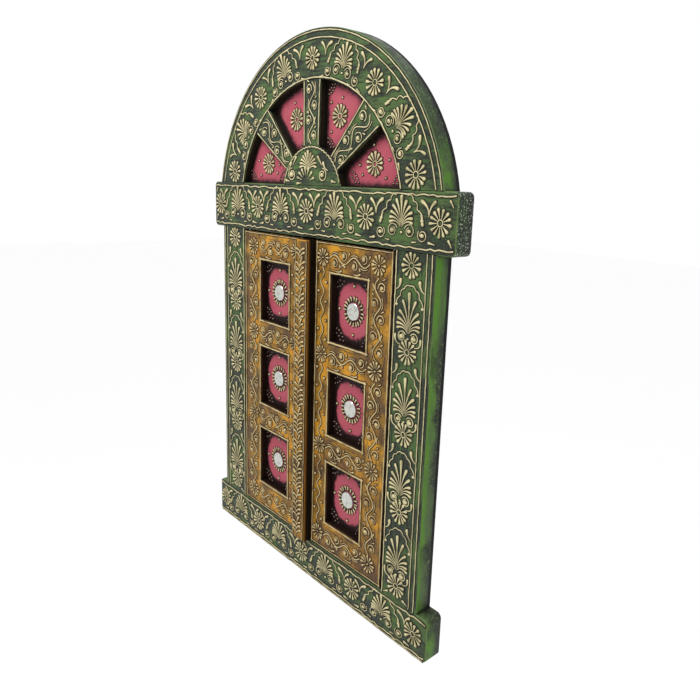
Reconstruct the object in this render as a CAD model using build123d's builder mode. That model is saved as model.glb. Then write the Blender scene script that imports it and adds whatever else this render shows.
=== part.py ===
"""Small wooden wall panel in the form of an arched doorway with two panelled leaves.

Millimetres, +Z up.  The wall plane is y = 0 and the viewer stands on the -Y side.  The origin lies
on the flat back face, behind the middle of the lintel.
"""

import os
from math import cos, radians, sin, sqrt

from build123d import *

os.makedirs("parts", exist_ok=True)

# ---------------------------------------------------------------- driving sizes
LINTEL_WIDTH = 304.8
LINTEL_HEIGHT = 41.4
BASE_WIDTH = 297.0
BASE_HEIGHT = 35.5
DOORWAY_WIDTH = 197.6
DOORWAY_HEIGHT = 264.9
POST_WIDTH = 38.1
ARCH_RADIUS = 143.0
ARCH_RISE = 115.4  # crown above the top of the lintel
FAN_RADIUS = 102.4
FAN_RISE = 78.9  # top of the fan opening above the top of the lintel
HUB_RADIUS = 38.0
HUB_RISE = 30.3

PANEL_THICKNESS = 15.2  # wall plane to front face
BACKING_THICKNESS = 3.0
RECESS_DEPTH = 6.0  # front face to the sunk panels
BATTEN_HEIGHT = 8.4  # centre batten above the front face

CORNER_ROUNDING = 4.0  # ends of the lintel and the base, seen from the front
EDGE_EASING = 1.2  # front arrises of lintel and base
SMALL_EASING = 0.6  # front arrises of posts, arch, ribs and leaf members

# fan ribs
RIB_SIDE_ANGLE = 40.5  # side ribs above the horizontal
RIB_CENTRE_WIDTHS = (20.5, 22.5)  # at the hub, at the rim
RIB_SIDE_WIDTHS = (14.5, 26.0)
RIB_LONG_EDGE = 20.0  # only a rib's two long edges are eased

# leaves
LEAF_GAP_SIDE = 1.2
LEAF_GAP_END = 1.1
MEETING_GAP = 1.0
LEAF_BOARD_THICKNESS = 3.0
OUTER_STILE_WIDTH = 26.1
BATTEN_WIDTH = 16.2
BATTEN_ROUNDING = 1.6
MEETING_STILE_WIDTH = 19.1  # clear of the batten
TOP_RAIL_HEIGHT = 24.5
CROSS_RAIL_HEIGHT = 25.0
BOTTOM_RAIL_HEIGHT = 25.9
PIVOT_EDGE_ROUNDING = 1.5

# pivot pins
PIN_RADIUS = 1.0
PIN_SETBACK = 3.0  # pin axis behind the leaf's front face and in from its outer edge
PIN_SEAT_LENGTH = 7.0  # in the lintel or the base
PIN_REACH = 6.0  # into the leaf
PIN_SEAT_CLEARANCE = 0.02
PIN_RUNNING_CLEARANCE = 0.06
PIN_END_CLEARANCE = 0.5

# mirrors
MIRROR_RADIUS = 6.9
MIRROR_THICKNESS = 1.4
MIRROR_EDGE = 0.3

# keyhole hanger, sunk flush in the back of the arch crown
HANGER_LENGTH = 44.0
HANGER_HEIGHT = 22.0
HANGER_THICKNESS = 1.5
HANGER_CORNER = 2.0
HANGER_CLEARANCE = 0.15
KEYHOLE_HEAD_RADIUS = 4.5
KEYHOLE_SHANK_WIDTH = 4.2
KEYHOLE_TRAVEL = 7.0
POCKET_WIDTH = 12.0
POCKET_DEPTH = 6.0  # into the arch band, for the head of the wall screw
SCREW_SPACING = 34.0
SCREW_RADIUS = 1.4
SCREW_LENGTH = 9.0
SCREW_HEAD_RADIUS = 2.6
SCREW_HEAD_ANGLE = 90
SCREW_CLEARANCE = 0.02

# ---------------------------------------------------------------- derived places
LINTEL_TOP = LINTEL_HEIGHT / 2
LINTEL_BOTTOM = -LINTEL_HEIGHT / 2
BASE_TOP = LINTEL_BOTTOM - DOORWAY_HEIGHT
BASE_BOTTOM = BASE_TOP - BASE_HEIGHT
ARCH_CENTRE_Z = LINTEL_TOP + ARCH_RISE - ARCH_RADIUS
FAN_CENTRE_Z = LINTEL_TOP + FAN_RISE - FAN_RADIUS
HUB_CENTRE_Z = LINTEL_TOP + HUB_RISE - HUB_RADIUS
RIM_DISTANCE = LINTEL_TOP + FAN_RISE - HUB_CENTRE_Z  # hub centre to the top of the fan opening
DOORWAY_HALF = DOORWAY_WIDTH / 2
POST_OUTER_X = DOORWAY_HALF + POST_WIDTH

FRONT_Y = -PANEL_THICKNESS
SUNK_Y = FRONT_Y + RECESS_DEPTH
FRAME_BACK_Y = -BACKING_THICKNESS

LEAF_TOP = LINTEL_BOTTOM - LEAF_GAP_END
LEAF_BOTTOM = BASE_TOP + LEAF_GAP_END
LEAF_OUTER_X = DOORWAY_HALF - LEAF_GAP_SIDE
BATTEN_EDGE_X = BATTEN_WIDTH / 2
OPENING_INNER_X = BATTEN_EDGE_X + MEETING_GAP + MEETING_STILE_WIDTH
OPENING_OUTER_X = LEAF_OUTER_X - OUTER_STILE_WIDTH
OPENING_HEIGHT = (
    LEAF_TOP - LEAF_BOTTOM - TOP_RAIL_HEIGHT - 2 * CROSS_RAIL_HEIGHT - BOTTOM_RAIL_HEIGHT
) / 3
OPENING_CENTRE_X = (OPENING_INNER_X + OPENING_OUTER_X) / 2
PIN_X = LEAF_OUTER_X - PIN_SETBACK
PIN_Y = FRONT_Y + PIN_SETBACK

HANGER_Z = LINTEL_TOP + (ARCH_RISE + FAN_RISE) / 2
KEYHOLE_ENTRY_Z = HANGER_Z - KEYHOLE_TRAVEL / 2
SCREW_HEAD_DEPTH = SCREW_HEAD_RADIUS - SCREW_RADIUS  # a right-angled countersink
SCREW_PLACES = [(-SCREW_SPACING / 2, HANGER_Z), (SCREW_SPACING / 2, HANGER_Z)]


def front_plane(y):
    """Drawing plane facing the viewer at depth y: local x is +X, local y is +Z."""
    return Plane(origin=(0, y, 0), x_dir=(1, 0, 0), z_dir=(0, -1, 0))


def draw_segment(radius, centre_z, crown_z, mode=Mode.ADD):
    """The part of a circle that stands above the lintel, in the current sketch."""
    half = sqrt(radius**2 - (LINTEL_TOP - centre_z) ** 2)
    with BuildLine() as outline:
        ThreePointArc((-half, LINTEL_TOP), (0, crown_z), (half, LINTEL_TOP))
        Line((half, LINTEL_TOP), (-half, LINTEL_TOP))
    make_face(outline.edges(), mode=mode)


def write(piece, name):
    """Label a finished piece and write its STEP file."""
    piece.part.label = name
    export_step(piece.part, f"parts/{name}.step")


def front_edges(piece, y=FRONT_Y):
    """Edges of a piece that lie in its front face."""
    return piece.edges().filter_by_position(Axis.Y, y - 0.01, y + 0.01)


def draw_pocket():
    """Outline of the room behind the keyhole, in the current sketch."""
    with Locations((0, HANGER_Z)):
        SlotOverall(KEYHOLE_TRAVEL + POCKET_WIDTH, POCKET_WIDTH, rotation=90)


def cut_screw_holes(y_from, depth):
    """Holes for the hanger's screws, in the current part."""
    with BuildSketch(front_plane(y_from)) as holes:
        with Locations(*SCREW_PLACES):
            Circle(SCREW_RADIUS + SCREW_CLEARANCE)
    extrude(holes.sketch, amount=depth, mode=Mode.SUBTRACT)


def bar(x_from, x_to, z_from, z_to, y_back, thickness, mode=Mode.ADD):
    """Board between two x and two z values, standing towards the viewer from y_back."""
    with BuildSketch(front_plane(y_back)) as outline:
        with Locations(((x_from + x_to) / 2, (z_from + z_to) / 2)):
            Rectangle(abs(x_to - x_from), abs(z_to - z_from))
    extrude(outline.sketch, amount=thickness, mode=mode)


FRAME_DEPTH = PANEL_THICKNESS - BACKING_THICKNESS

# ---------------------------------------------------------------- backing board
with BuildPart() as backing_board:
    with BuildSketch(front_plane(0)):
        draw_segment(ARCH_RADIUS, ARCH_CENTRE_Z, LINTEL_TOP + ARCH_RISE)
        with Locations((0, (LINTEL_TOP + BASE_BOTTOM) / 2)):
            Rectangle(2 * POST_OUTER_X, LINTEL_TOP - BASE_BOTTOM)
    extrude(amount=BACKING_THICKNESS)
    # seat for the hanger plate, with the pocket going on through
    with BuildSketch(front_plane(0)):
        with Locations((0, HANGER_Z)):
            RectangleRounded(
                HANGER_LENGTH + 2 * HANGER_CLEARANCE,
                HANGER_HEIGHT + 2 * HANGER_CLEARANCE,
                HANGER_CORNER,
            )
    extrude(amount=HANGER_THICKNESS, mode=Mode.SUBTRACT)
    with BuildSketch(front_plane(0)):
        draw_pocket()
    extrude(amount=BACKING_THICKNESS, mode=Mode.SUBTRACT)
    cut_screw_holes(0, BACKING_THICKNESS)
write(backing_board, "backing_board")

# ---------------------------------------------------------------- lintel and base rail
CROSS_MEMBERS = {
    # width, height, middle, edge that meets the leaves, direction of the pin seats
    "lintel": (LINTEL_WIDTH, LINTEL_HEIGHT, 0, LINTEL_BOTTOM, 1),
    "base_rail": (BASE_WIDTH, BASE_HEIGHT, (BASE_TOP + BASE_BOTTOM) / 2, BASE_TOP, -1),
}
for member_name, (width, height, middle_z, pin_z, pin_way) in CROSS_MEMBERS.items():
    with BuildPart() as member:
        with BuildSketch(front_plane(0)):
            with Locations((0, middle_z)):
                RectangleRounded(width, height, CORNER_ROUNDING)
        extrude(amount=PANEL_THICKNESS)
        fillet(front_edges(member), EDGE_EASING)
        # rebate that takes the backing board, so that the whole back is flush
        bar(
            -POST_OUTER_X,
            POST_OUTER_X,
            middle_z - height / 2,
            middle_z + height / 2,
            0,
            BACKING_THICKNESS,
            mode=Mode.SUBTRACT,
        )
        # seats of the pivot pins
        with BuildSketch(Plane.XY.offset(pin_z)):
            with Locations((-PIN_X, PIN_Y), (PIN_X, PIN_Y)):
                Circle(PIN_RADIUS + PIN_SEAT_CLEARANCE)
        extrude(amount=pin_way * PIN_SEAT_LENGTH, mode=Mode.SUBTRACT)
    write(member, member_name)

# ---------------------------------------------------------------- posts
for side, sign in (("left", -1), ("right", 1)):
    with BuildPart() as post:
        bar(sign * DOORWAY_HALF, sign * POST_OUTER_X, BASE_TOP, LINTEL_BOTTOM, FRAME_BACK_Y, FRAME_DEPTH)
        fillet(front_edges(post).filter_by(Axis.Z), SMALL_EASING)
    write(post, f"{side}_post")

# ---------------------------------------------------------------- arch band and fanlight
with BuildPart() as arch_band:
    with BuildSketch(front_plane(FRAME_BACK_Y)):
        draw_segment(ARCH_RADIUS, ARCH_CENTRE_Z, LINTEL_TOP + ARCH_RISE)
        draw_segment(FAN_RADIUS, FAN_CENTRE_Z, LINTEL_TOP + FAN_RISE, mode=Mode.SUBTRACT)
    extrude(amount=FRAME_DEPTH)
    fillet(front_edges(arch_band).filter_by(GeomType.CIRCLE), SMALL_EASING)
    with BuildSketch(front_plane(FRAME_BACK_Y)):
        draw_pocket()
    extrude(amount=POCKET_DEPTH, mode=Mode.SUBTRACT)
    cut_screw_holes(FRAME_BACK_Y, SCREW_LENGTH - BACKING_THICKNESS)
write(arch_band, "arch_band")

with BuildPart() as fan_panel:
    with BuildSketch(front_plane(FRAME_BACK_Y)):
        draw_segment(FAN_RADIUS, FAN_CENTRE_Z, LINTEL_TOP + FAN_RISE)
    extrude(amount=FRAME_DEPTH - RECESS_DEPTH)
write(fan_panel, "fan_panel")

with BuildPart() as fan_hub:
    with BuildSketch(front_plane(SUNK_Y)):
        draw_segment(HUB_RADIUS, HUB_CENTRE_Z, LINTEL_TOP + HUB_RISE)
    extrude(amount=RECESS_DEPTH)
    fillet(front_edges(fan_hub).filter_by(GeomType.CIRCLE), SMALL_EASING)
write(fan_hub, "fan_hub")

RIBS = {
    # direction above +X, widths at the hub and at the rim
    "fan_rib_left": (180 - RIB_SIDE_ANGLE, RIB_SIDE_WIDTHS),
    "fan_rib_centre": (90, RIB_CENTRE_WIDTHS),
    "fan_rib_right": (RIB_SIDE_ANGLE, RIB_SIDE_WIDTHS),
}
for rib_name, (angle, (hub_width, rim_width)) in RIBS.items():
    along_rib = Plane(
        origin=(0, SUNK_Y, HUB_CENTRE_Z),
        x_dir=(cos(radians(angle)), 0, sin(radians(angle))),
        z_dir=(0, -1, 0),
    )
    with BuildPart() as rib:
        with BuildSketch(along_rib):
            # straight inside the hub, then widening to the rim and on past it
            with BuildLine():
                Polyline(
                    (0, -hub_width / 2),
                    (HUB_RADIUS, -hub_width / 2),
                    (RIM_DISTANCE, -rim_width / 2),
                    (ARCH_RADIUS, -rim_width / 2),
                    (ARCH_RADIUS, rim_width / 2),
                    (RIM_DISTANCE, rim_width / 2),
                    (HUB_RADIUS, hub_width / 2),
                    (0, hub_width / 2),
                    close=True,
                )
            make_face()
        extrude(amount=RECESS_DEPTH)
        # trimmed to the fan opening and to the hub
        with BuildSketch(front_plane(SUNK_Y)):
            draw_segment(FAN_RADIUS, FAN_CENTRE_Z, LINTEL_TOP + FAN_RISE)
            draw_segment(HUB_RADIUS, HUB_CENTRE_Z, LINTEL_TOP + HUB_RISE, mode=Mode.SUBTRACT)
        extrude(amount=RECESS_DEPTH, mode=Mode.INTERSECT)
        long_edges = [edge for edge in front_edges(rib).filter_by(GeomType.LINE) if edge.length > RIB_LONG_EDGE]
        fillet(long_edges, SMALL_EASING)
    write(rib, rib_name)

# ---------------------------------------------------------------- door leaves
OPENING_BOTTOMS = [
    LEAF_BOTTOM + BOTTOM_RAIL_HEIGHT + row * (OPENING_HEIGHT + CROSS_RAIL_HEIGHT) for row in range(3)
]
RAILS = {
    # lower and upper edge
    "bottom_rail": (LEAF_BOTTOM, OPENING_BOTTOMS[0]),
    "lower_cross_rail": (OPENING_BOTTOMS[0] + OPENING_HEIGHT, OPENING_BOTTOMS[1]),
    "upper_cross_rail": (OPENING_BOTTOMS[1] + OPENING_HEIGHT, OPENING_BOTTOMS[2]),
    "top_rail": (OPENING_BOTTOMS[2] + OPENING_HEIGHT, LEAF_TOP),
}

# The left leaf runs on under the batten, so the leaves meet at the batten's right-hand edge.
LEAVES = {
    # sign of x, edge at the meeting line
    "left": (-1, BATTEN_EDGE_X),
    "right": (1, BATTEN_EDGE_X + MEETING_GAP),
}
for side, (sign, meeting_x) in LEAVES.items():
    outer_x = sign * LEAF_OUTER_X
    opening_outer_x = sign * OPENING_OUTER_X
    opening_inner_x = sign * OPENING_INNER_X

    with BuildPart() as leaf_board:
        bar(
            outer_x, meeting_x, LEAF_BOTTOM, LEAF_TOP, SUNK_Y + LEAF_BOARD_THICKNESS, LEAF_BOARD_THICKNESS
        )
    write(leaf_board, f"{side}_leaf_board")

    with BuildPart() as outer_stile:
        bar(outer_x, opening_outer_x, LEAF_BOTTOM, LEAF_TOP, SUNK_Y, RECESS_DEPTH)
        # rounded at the pivot edge, so that the turning leaf clears the post
        uprights = front_edges(outer_stile).filter_by(Axis.Z).sort_by(Axis.X)
        fillet(uprights[-1 if sign > 0 else 0], PIVOT_EDGE_ROUNDING)
        for pin_z, way in ((LEAF_TOP, -1), (LEAF_BOTTOM, 1)):
            with BuildSketch(Plane.XY.offset(pin_z)):
                with Locations((sign * PIN_X, PIN_Y)):
                    Circle(PIN_RADIUS + PIN_RUNNING_CLEARANCE)
            extrude(amount=way * (PIN_REACH + PIN_END_CLEARANCE), mode=Mode.SUBTRACT)
    write(outer_stile, f"{side}_outer_stile")

    with BuildPart() as meeting_stile:
        bar(opening_inner_x, meeting_x, LEAF_BOTTOM, LEAF_TOP, SUNK_Y, RECESS_DEPTH)
    write(meeting_stile, f"{side}_meeting_stile")

    for rail_name, (rail_bottom, rail_top) in RAILS.items():
        with BuildPart() as rail:
            bar(opening_outer_x, opening_inner_x, rail_bottom, rail_top, SUNK_Y, RECESS_DEPTH)
        write(rail, f"{side}_{rail_name}")

    with BuildPart() as mirrors:
        with BuildSketch(front_plane(SUNK_Y)):
            with Locations(*[(sign * OPENING_CENTRE_X, z + OPENING_HEIGHT / 2) for z in OPENING_BOTTOMS]):
                Circle(MIRROR_RADIUS)
        extrude(amount=MIRROR_THICKNESS)
        chamfer(front_edges(mirrors, SUNK_Y - MIRROR_THICKNESS), MIRROR_EDGE)
    write(mirrors, f"{side}_mirrors")

with BuildPart() as centre_batten:
    bar(-BATTEN_EDGE_X, BATTEN_EDGE_X, LEAF_BOTTOM, LEAF_TOP, FRONT_Y, BATTEN_HEIGHT)
    fillet(front_edges(centre_batten, FRONT_Y - BATTEN_HEIGHT), BATTEN_ROUNDING)
write(centre_batten, "centre_batten")

# ---------------------------------------------------------------- pivot pins
with BuildPart() as pivot_pins:
    for pin_z, way in ((LINTEL_BOTTOM, 1), (BASE_TOP, -1)):
        gap_and_reach = LEAF_GAP_END + PIN_REACH
        with BuildSketch(Plane.XY.offset(pin_z - way * gap_and_reach)):
            with Locations((-PIN_X, PIN_Y), (PIN_X, PIN_Y)):
                Circle(PIN_RADIUS)
        extrude(amount=way * (gap_and_reach + PIN_SEAT_LENGTH))
write(pivot_pins, "pivot_pins")

# ---------------------------------------------------------------- hanger
with BuildPart() as hanger_plate:
    with BuildSketch(front_plane(0)):
        with Locations((0, HANGER_Z)):
            RectangleRounded(HANGER_LENGTH, HANGER_HEIGHT, HANGER_CORNER)
        with Locations((0, KEYHOLE_ENTRY_Z)):
            Circle(KEYHOLE_HEAD_RADIUS, mode=Mode.SUBTRACT)
        with Locations((0, HANGER_Z)):
            SlotCenterToCenter(KEYHOLE_TRAVEL, KEYHOLE_SHANK_WIDTH, rotation=90, mode=Mode.SUBTRACT)
    extrude(amount=HANGER_THICKNESS)
    for screw_x, screw_z in SCREW_PLACES:
        with Locations(Plane(origin=(screw_x, 0, screw_z), z_dir=(0, 1, 0))):
            CounterSinkHole(
                SCREW_RADIUS + SCREW_CLEARANCE,
                SCREW_HEAD_RADIUS + SCREW_CLEARANCE,
                depth=HANGER_THICKNESS,
                counter_sink_angle=SCREW_HEAD_ANGLE,
            )
write(hanger_plate, "hanger_plate")

with BuildPart() as hanger_screws:
    for screw_x, screw_z in SCREW_PLACES:
        with BuildSketch(Plane(origin=(screw_x, 0, screw_z), x_dir=(1, 0, 0), z_dir=(0, 0, 1))):
            # half section: flat head at the wall plane, shank towards the viewer
            with BuildLine():
                Polyline(
                    (0, 0),
                    (SCREW_HEAD_RADIUS, 0),
                    (SCREW_RADIUS, -SCREW_HEAD_DEPTH),
                    (SCREW_RADIUS, -SCREW_LENGTH),
                    (0, -SCREW_LENGTH),
                    close=True,
                )
            make_face()
        revolve(axis=Axis(origin=(screw_x, 0, screw_z), direction=(0, 1, 0)))
write(hanger_screws, "hanger_screws")
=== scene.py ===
"""Looks of the arched doorway wall panel: painted wood, antiquing wash and raised paste ornament.

Blender 4.5.  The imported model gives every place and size.  Ornament is drawn in millimetres on the flat
front of each member and piped there as closed half-round strokes, one joined mesh per member.
"""

import random
from math import atan2, cos, dist, hypot, pi, radians, sin, sqrt

import bpy
import numpy as np
from mathutils import Matrix, Vector


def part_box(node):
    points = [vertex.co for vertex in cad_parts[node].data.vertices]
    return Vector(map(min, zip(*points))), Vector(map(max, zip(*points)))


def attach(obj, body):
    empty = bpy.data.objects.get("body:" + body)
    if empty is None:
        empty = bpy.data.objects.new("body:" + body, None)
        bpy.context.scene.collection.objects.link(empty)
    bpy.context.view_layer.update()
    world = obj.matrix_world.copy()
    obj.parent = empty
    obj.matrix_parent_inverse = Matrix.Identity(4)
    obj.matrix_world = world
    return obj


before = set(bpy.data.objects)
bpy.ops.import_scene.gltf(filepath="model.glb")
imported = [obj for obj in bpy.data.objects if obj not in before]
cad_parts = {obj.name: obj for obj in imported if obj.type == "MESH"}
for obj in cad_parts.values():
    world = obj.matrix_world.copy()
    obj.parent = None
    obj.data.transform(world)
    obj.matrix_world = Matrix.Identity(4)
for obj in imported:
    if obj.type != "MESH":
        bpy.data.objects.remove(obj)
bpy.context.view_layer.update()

MM = 0.001
hand = random.Random(18)  # small unevenness of hand work


def box_mm(node):
    """Low and high corner of a CAD node, in millimetres."""
    low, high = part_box(node)
    return [c / MM for c in low], [c / MM for c in high]


# ------------------------------------------------------------------ strokes
# A stroke is (points, radii) in millimetres on a flat drawing surface (u right, v up).

LINE = 0.6  # radius of a piped border line
THIN = 0.46  # radius of a drawn scroll line
FAT = 1.48  # radius of a petal's round end
HALO = 0.8  # how far the dark wash reaches past a stroke
PASTE_SECTION = [0, 0.27 * pi, 0.5 * pi, 0.73 * pi, pi]
HALO_SECTION = [0, 0.5 * pi, pi]
ROUND_CAP = [(0.5, 0.86), (0.85, 0.5), (1.0, 0.06)]  # along the end, share of the radius
SHORT_CAP = [(0.7, 0.45)]
ROUND_CAP_FROM = 0.6  # radius above which an end gets the rounder cap
SUNK = 0.04  # strokes start this far inside the wood
PASTE_SHOULDER = 0.22  # a stroke stands this high, plus a share of its radius
PASTE_CROWN = 0.7
HALO_RISE = 0.16
STAIN_RISE = 0.096  # a wash with no paste on it lies lower, under the strokes laid on it


def uneven(amount):
    """A small slip of the hand, to either side."""
    return hand.uniform(-amount, amount)


def around(centre, radius, angle):
    """Point on a circle, at an angle in radians."""
    return centre[0] + radius * cos(angle), centre[1] + radius * sin(angle)


def beside(start, end, share, shift):
    """Point a share of the way from start to end, shifted to the left of that way."""
    du, dv = end[0] - start[0], end[1] - start[1]
    length = hypot(du, dv)
    return start[0] + du * share - dv / length * shift, start[1] + dv * share + du / length * shift


def drop(tail, head, fat=FAT, thin=THIN, bend=0.0, steps=5):
    """Comma of paste from a thin tail to a round head; bend bulges it to its left."""
    bulge = 4 * bend * dist(tail, head)
    shares = [k / steps for k in range(steps + 1)]
    points = [beside(tail, head, t, bulge * t * (1 - t)) for t in shares]
    return points, [thin + (fat - thin) * t**2 for t in shares]


def dot(centre, radius):
    """Round blob."""
    u, v = centre
    return [(u - 0.1 * radius, v), (u + 0.1 * radius, v)], [radius, radius]


def line(points, radius):
    """Piped line whose thickness varies a little."""
    return points, [radius * (1 + uneven(0.08)) for _ in points]


def straight(start, end, wobble, radius=LINE, step=3.5):
    """Hand-drawn line between two points, slightly wavy across its run."""
    count = max(2, int(dist(start, end) / step))
    return line([beside(start, end, k / count, uneven(wobble)) for k in range(count + 1)], radius)


def wave(start, end, rise, length, radius):
    """Regular wave between two points."""
    step = 0.9
    run = dist(start, end)
    places = [k * step for k in range(int(run / step) + 1)]
    return line([beside(start, end, s / run, rise * sin(2 * pi * s / length)) for s in places], radius)


def curve_through(controls, steps):
    """Smooth path through a few points (Catmull-Rom)."""
    c = np.array([controls[0], *controls, controls[-1]], float)
    path = []
    for i in range(1, len(c) - 2):
        before, here, after, beyond = c[i - 1 : i + 3]
        for k in range(steps):
            t = k / steps
            linear = (after - before) * t
            square = (2 * before - 5 * here + 4 * after - beyond) * t**2
            cube = (3 * here - before - 3 * after + beyond) * t**3
            path.append(tuple(here + 0.5 * (linear + square + cube)))
    return path + [tuple(controls[-1])]


def cusped(controls, bumps, depth, radius):
    """Scalloped line: small arcs that bulge to the left of a smooth path, ending in a blob."""
    path = curve_through(controls, max(3, 7 * bumps // (len(controls) - 1)))
    points = []
    last = len(path) - 1
    for k, (u, v) in enumerate(path):
        before, after = path[max(0, k - 1)], path[min(last, k + 1)]
        du, dv = after[0] - before[0], after[1] - before[1]
        size = hypot(du, dv) or 1
        lift = depth * abs(sin(pi * bumps * k / last))
        points.append((u - dv / size * lift, v + du / size * lift))
    return [line(points, radius), dot(points[-1], 2.6 * radius)]


def scroll(centre, radius, start, way, turns=1.15, heart=1.8, thickness=THIN):
    """Thin line that curls round a fat heart; start is the angle in degrees where the curl begins.

    way is 1 for a curl that runs anticlockwise and -1 for one that runs clockwise.
    """
    steps = int(15 * turns)
    points = []
    for k in range(steps + 1):
        t = k / steps
        angle = radians(start) + way * 2 * pi * turns * t
        points.append(around(centre, radius * (1 - 0.5 * t), angle))
    return [line(points, thickness), dot(centre, heart * (1 + uneven(0.12)))]


def circle(centre, radius, sides):
    """Closed ring of points, the first one repeated at the end."""
    return [around(centre, radius, 2 * pi * k / sides) for k in range(sides + 1)]


def daisy(centre, reach, petals=13, fat=FAT, heart=0.3, ring=True):
    """Petals round a small ring or a dot; heart is the share of the reach where petals begin."""
    turn = uneven(0.3)
    strokes = []
    for k in range(petals):
        angle = turn + 2 * pi * (k + uneven(0.12)) / petals
        tail = around(centre, reach * heart, angle)
        head = around(centre, (reach - fat) * (1 + uneven(0.05)), angle)
        strokes.append(drop(tail, head, fat=fat * (1 + uneven(0.12)), thin=0.22 * fat))
    if ring:
        loop = circle(centre, 0.75 * heart * reach, 12)
        strokes.append((loop, [0.33 * fat] * len(loop)))
    else:
        strokes.append(dot(centre, 0.75 * fat))
    return strokes


PALMETTE_PETALS = 11
PALMETTE_SPREAD = 1.28  # radians between the middle petal and the outermost one


def palmette(base, height, half_width, fat=FAT):
    """Fountain of drops that rise from one point and bend outwards, the middle one longest."""
    u, v = base
    strokes = []
    middle = (PALMETTE_PETALS - 1) // 2
    for k in range(PALMETTE_PETALS):
        share = (k - middle) / middle
        angle = share * PALMETTE_SPREAD
        reach = 1 / sqrt((sin(angle) / half_width) ** 2 + (cos(angle) / height) ** 2)
        reach = (reach - fat) * (1 + uneven(0.04)) * (1 if share == 0 else 0.97 - 0.08 * abs(share))
        head = (u + reach * sin(angle), v + reach * cos(angle))
        root = (u + 0.05 * reach * sin(angle), v + 0.2 * height * (1 - abs(share)))
        size = 1.15 if share == 0 else 1 - 0.12 * abs(share) + uneven(0.08)
        strokes.append(drop(root, head, fat * size, thin=0.25, bend=0.2 * share, steps=6))
    return strokes


# ------------------------------------------------------------------ motifs


def running_unit():
    """One palmette with its scrolls and cusped arms; daisies stand 36 mm to either side."""
    strokes = palmette((0, -4.5), 21.5, 13.2)
    strokes.append(dot((0.6, -8), 1.15))
    for s in (-1, 1):
        strokes += scroll((s * 8.2, -7), 4.9, 90 + s * 70, -s)
        strokes += scroll((s * 20.3, -9), 4.5, 90 + s * 50, s)
        arm = [(s * 5.5, 16.8), (s * 10.8, 13.2), (s * 14.6, 7.6), (s * 19.6, 0.6)]
        strokes += cusped(arm, 3, 1.9 * s, radius=0.55)
        strokes.append(drop((s * 18.2, 4.5), (s * 20.3, -1.6), fat=1.5))
        strokes.append(drop((s * 25.4, 3.6), (s * 19, 13.4), fat=1.7, bend=-0.17 * s))
        strokes.append(drop((s * 25.4, 3.6), (s * 30.4, 13.2), bend=0.12 * s))
        strokes.append(drop((s * 31.5, -14), (s * 26.6, -13.2), fat=1.25))
        strokes.append(drop((s * 15, -13.6), (s * 11.4, -14), fat=0.8))
    return strokes


POST_UNIT_HEIGHT = 61.0  # between two daisies of a post, as the unit is drawn


def post_unit():
    """Drops, cusped arch, palmette and scrolls that hang below one daisy."""
    strokes = palmette((0, -47.5), 28.5, 12.8)
    strokes.append(dot((0, -51.3), 1.0))
    for s in (-1, 1):
        strokes.append(drop((s * 13.3, -17.6), (s * 9.2, -10.9), fat=1.65, bend=0.16 * s))
        arm = [(0, -14.2), (s * 5.4, -16.6), (s * 9.0, -21.8), (s * 12.4, -28.2)]
        strokes += cusped(arm, 3, 1.25 * s, radius=0.5)
        strokes += scroll((s * 6.0, -50.3), 4.0, 90 + s * 60, -s, heart=1.9, thickness=0.55)
        strokes.append(drop((s * 7, -56.4), (s * 12.3, -50.2), fat=1.2, bend=-0.28 * s))
    return strokes


def curling_vine(length, swing, hearts, curl, thickness):
    """Snaking stem along +v from 0 to length, a curl with a fat heart in every bend.

    swing is how far the stem leaves its middle line, and curl is the radius of each curl.
    """
    pitch = length / hearts
    stem = []
    for k in range(10 * hearts + 1):
        v = length * k / (10 * hearts)
        stem.append((-swing * cos(pi * (v / pitch - 0.5)), v))
    strokes = [line(stem, thickness * 1.15)]
    for k in range(hearts):
        side = -1 if k % 2 else 1
        u, v = side * swing * 1.05, pitch * (k + 0.5) + uneven(0.5)
        strokes += scroll((u, v), curl, 90 + side * 100, -side, turns=0.95, thickness=thickness)
        outside = -side * (swing + 1.9)
        if k % 3 == 1:
            strokes.append(drop((outside, v - 3), (outside, v + 1.6), fat=0.95, bend=-0.22 * side))
        else:
            away = 2.05 * swing + 1.7
            arc = [(u - side * away * cos(a), v + away * sin(a)) for a in (-0.5, -0.25, 0, 0.25, 0.5)]
            strokes.append(line(arc, 0.75 * thickness))
        strokes.append(drop((side * (swing + 0.6), v + 5.6), (side * (swing + 2.6), v + 6.6), fat=0.8))
    return strokes


def corner_dots(corner, towards_u, towards_v, reach):
    """Two quarter rings of small dots round a pane's corner."""
    strokes = []
    for radius, count in ((reach, 5), (0.62 * reach, 3)):
        for k in range(count):
            angle = 0.5 * pi * (k + 0.5) / count
            place = (corner[0] + towards_u * radius * cos(angle), corner[1] + towards_v * radius * sin(angle))
            strokes.append(dot(place, 0.65))
    return strokes


# ------------------------------------------------------------------ placing strokes


def shifted(strokes, u, v, turn=0.0, scale_v=1.0):
    """Strokes scaled along v, turned (degrees) and moved."""
    c, s = cos(radians(turn)), sin(radians(turn))
    moved = []
    for points, radii in strokes:
        placed = [(u + c * p - s * q * scale_v, v + s * p + c * q * scale_v) for p, q in points]
        moved.append((placed, [r * sqrt(scale_v) for r in radii]))
    return moved


def round_arch(strokes, centre, radius, middle_angle, scale):
    """Strokes bent round an arch: u runs clockwise along it, v outwards."""
    bent = []
    for points, radii in strokes:
        placed = []
        for p, q in points:
            angle = radians(middle_angle) - p * scale / radius
            placed.append(around(centre, radius + q * scale, angle))
        bent.append((placed, [r * scale for r in radii]))
    return bent


def mirrored(strokes):
    """Strokes of the right leaf, turned over for the left one."""
    return [([(-u, v) for u, v in points], radii) for points, radii in strokes]


# ------------------------------------------------------------------ meshing strokes


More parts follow.
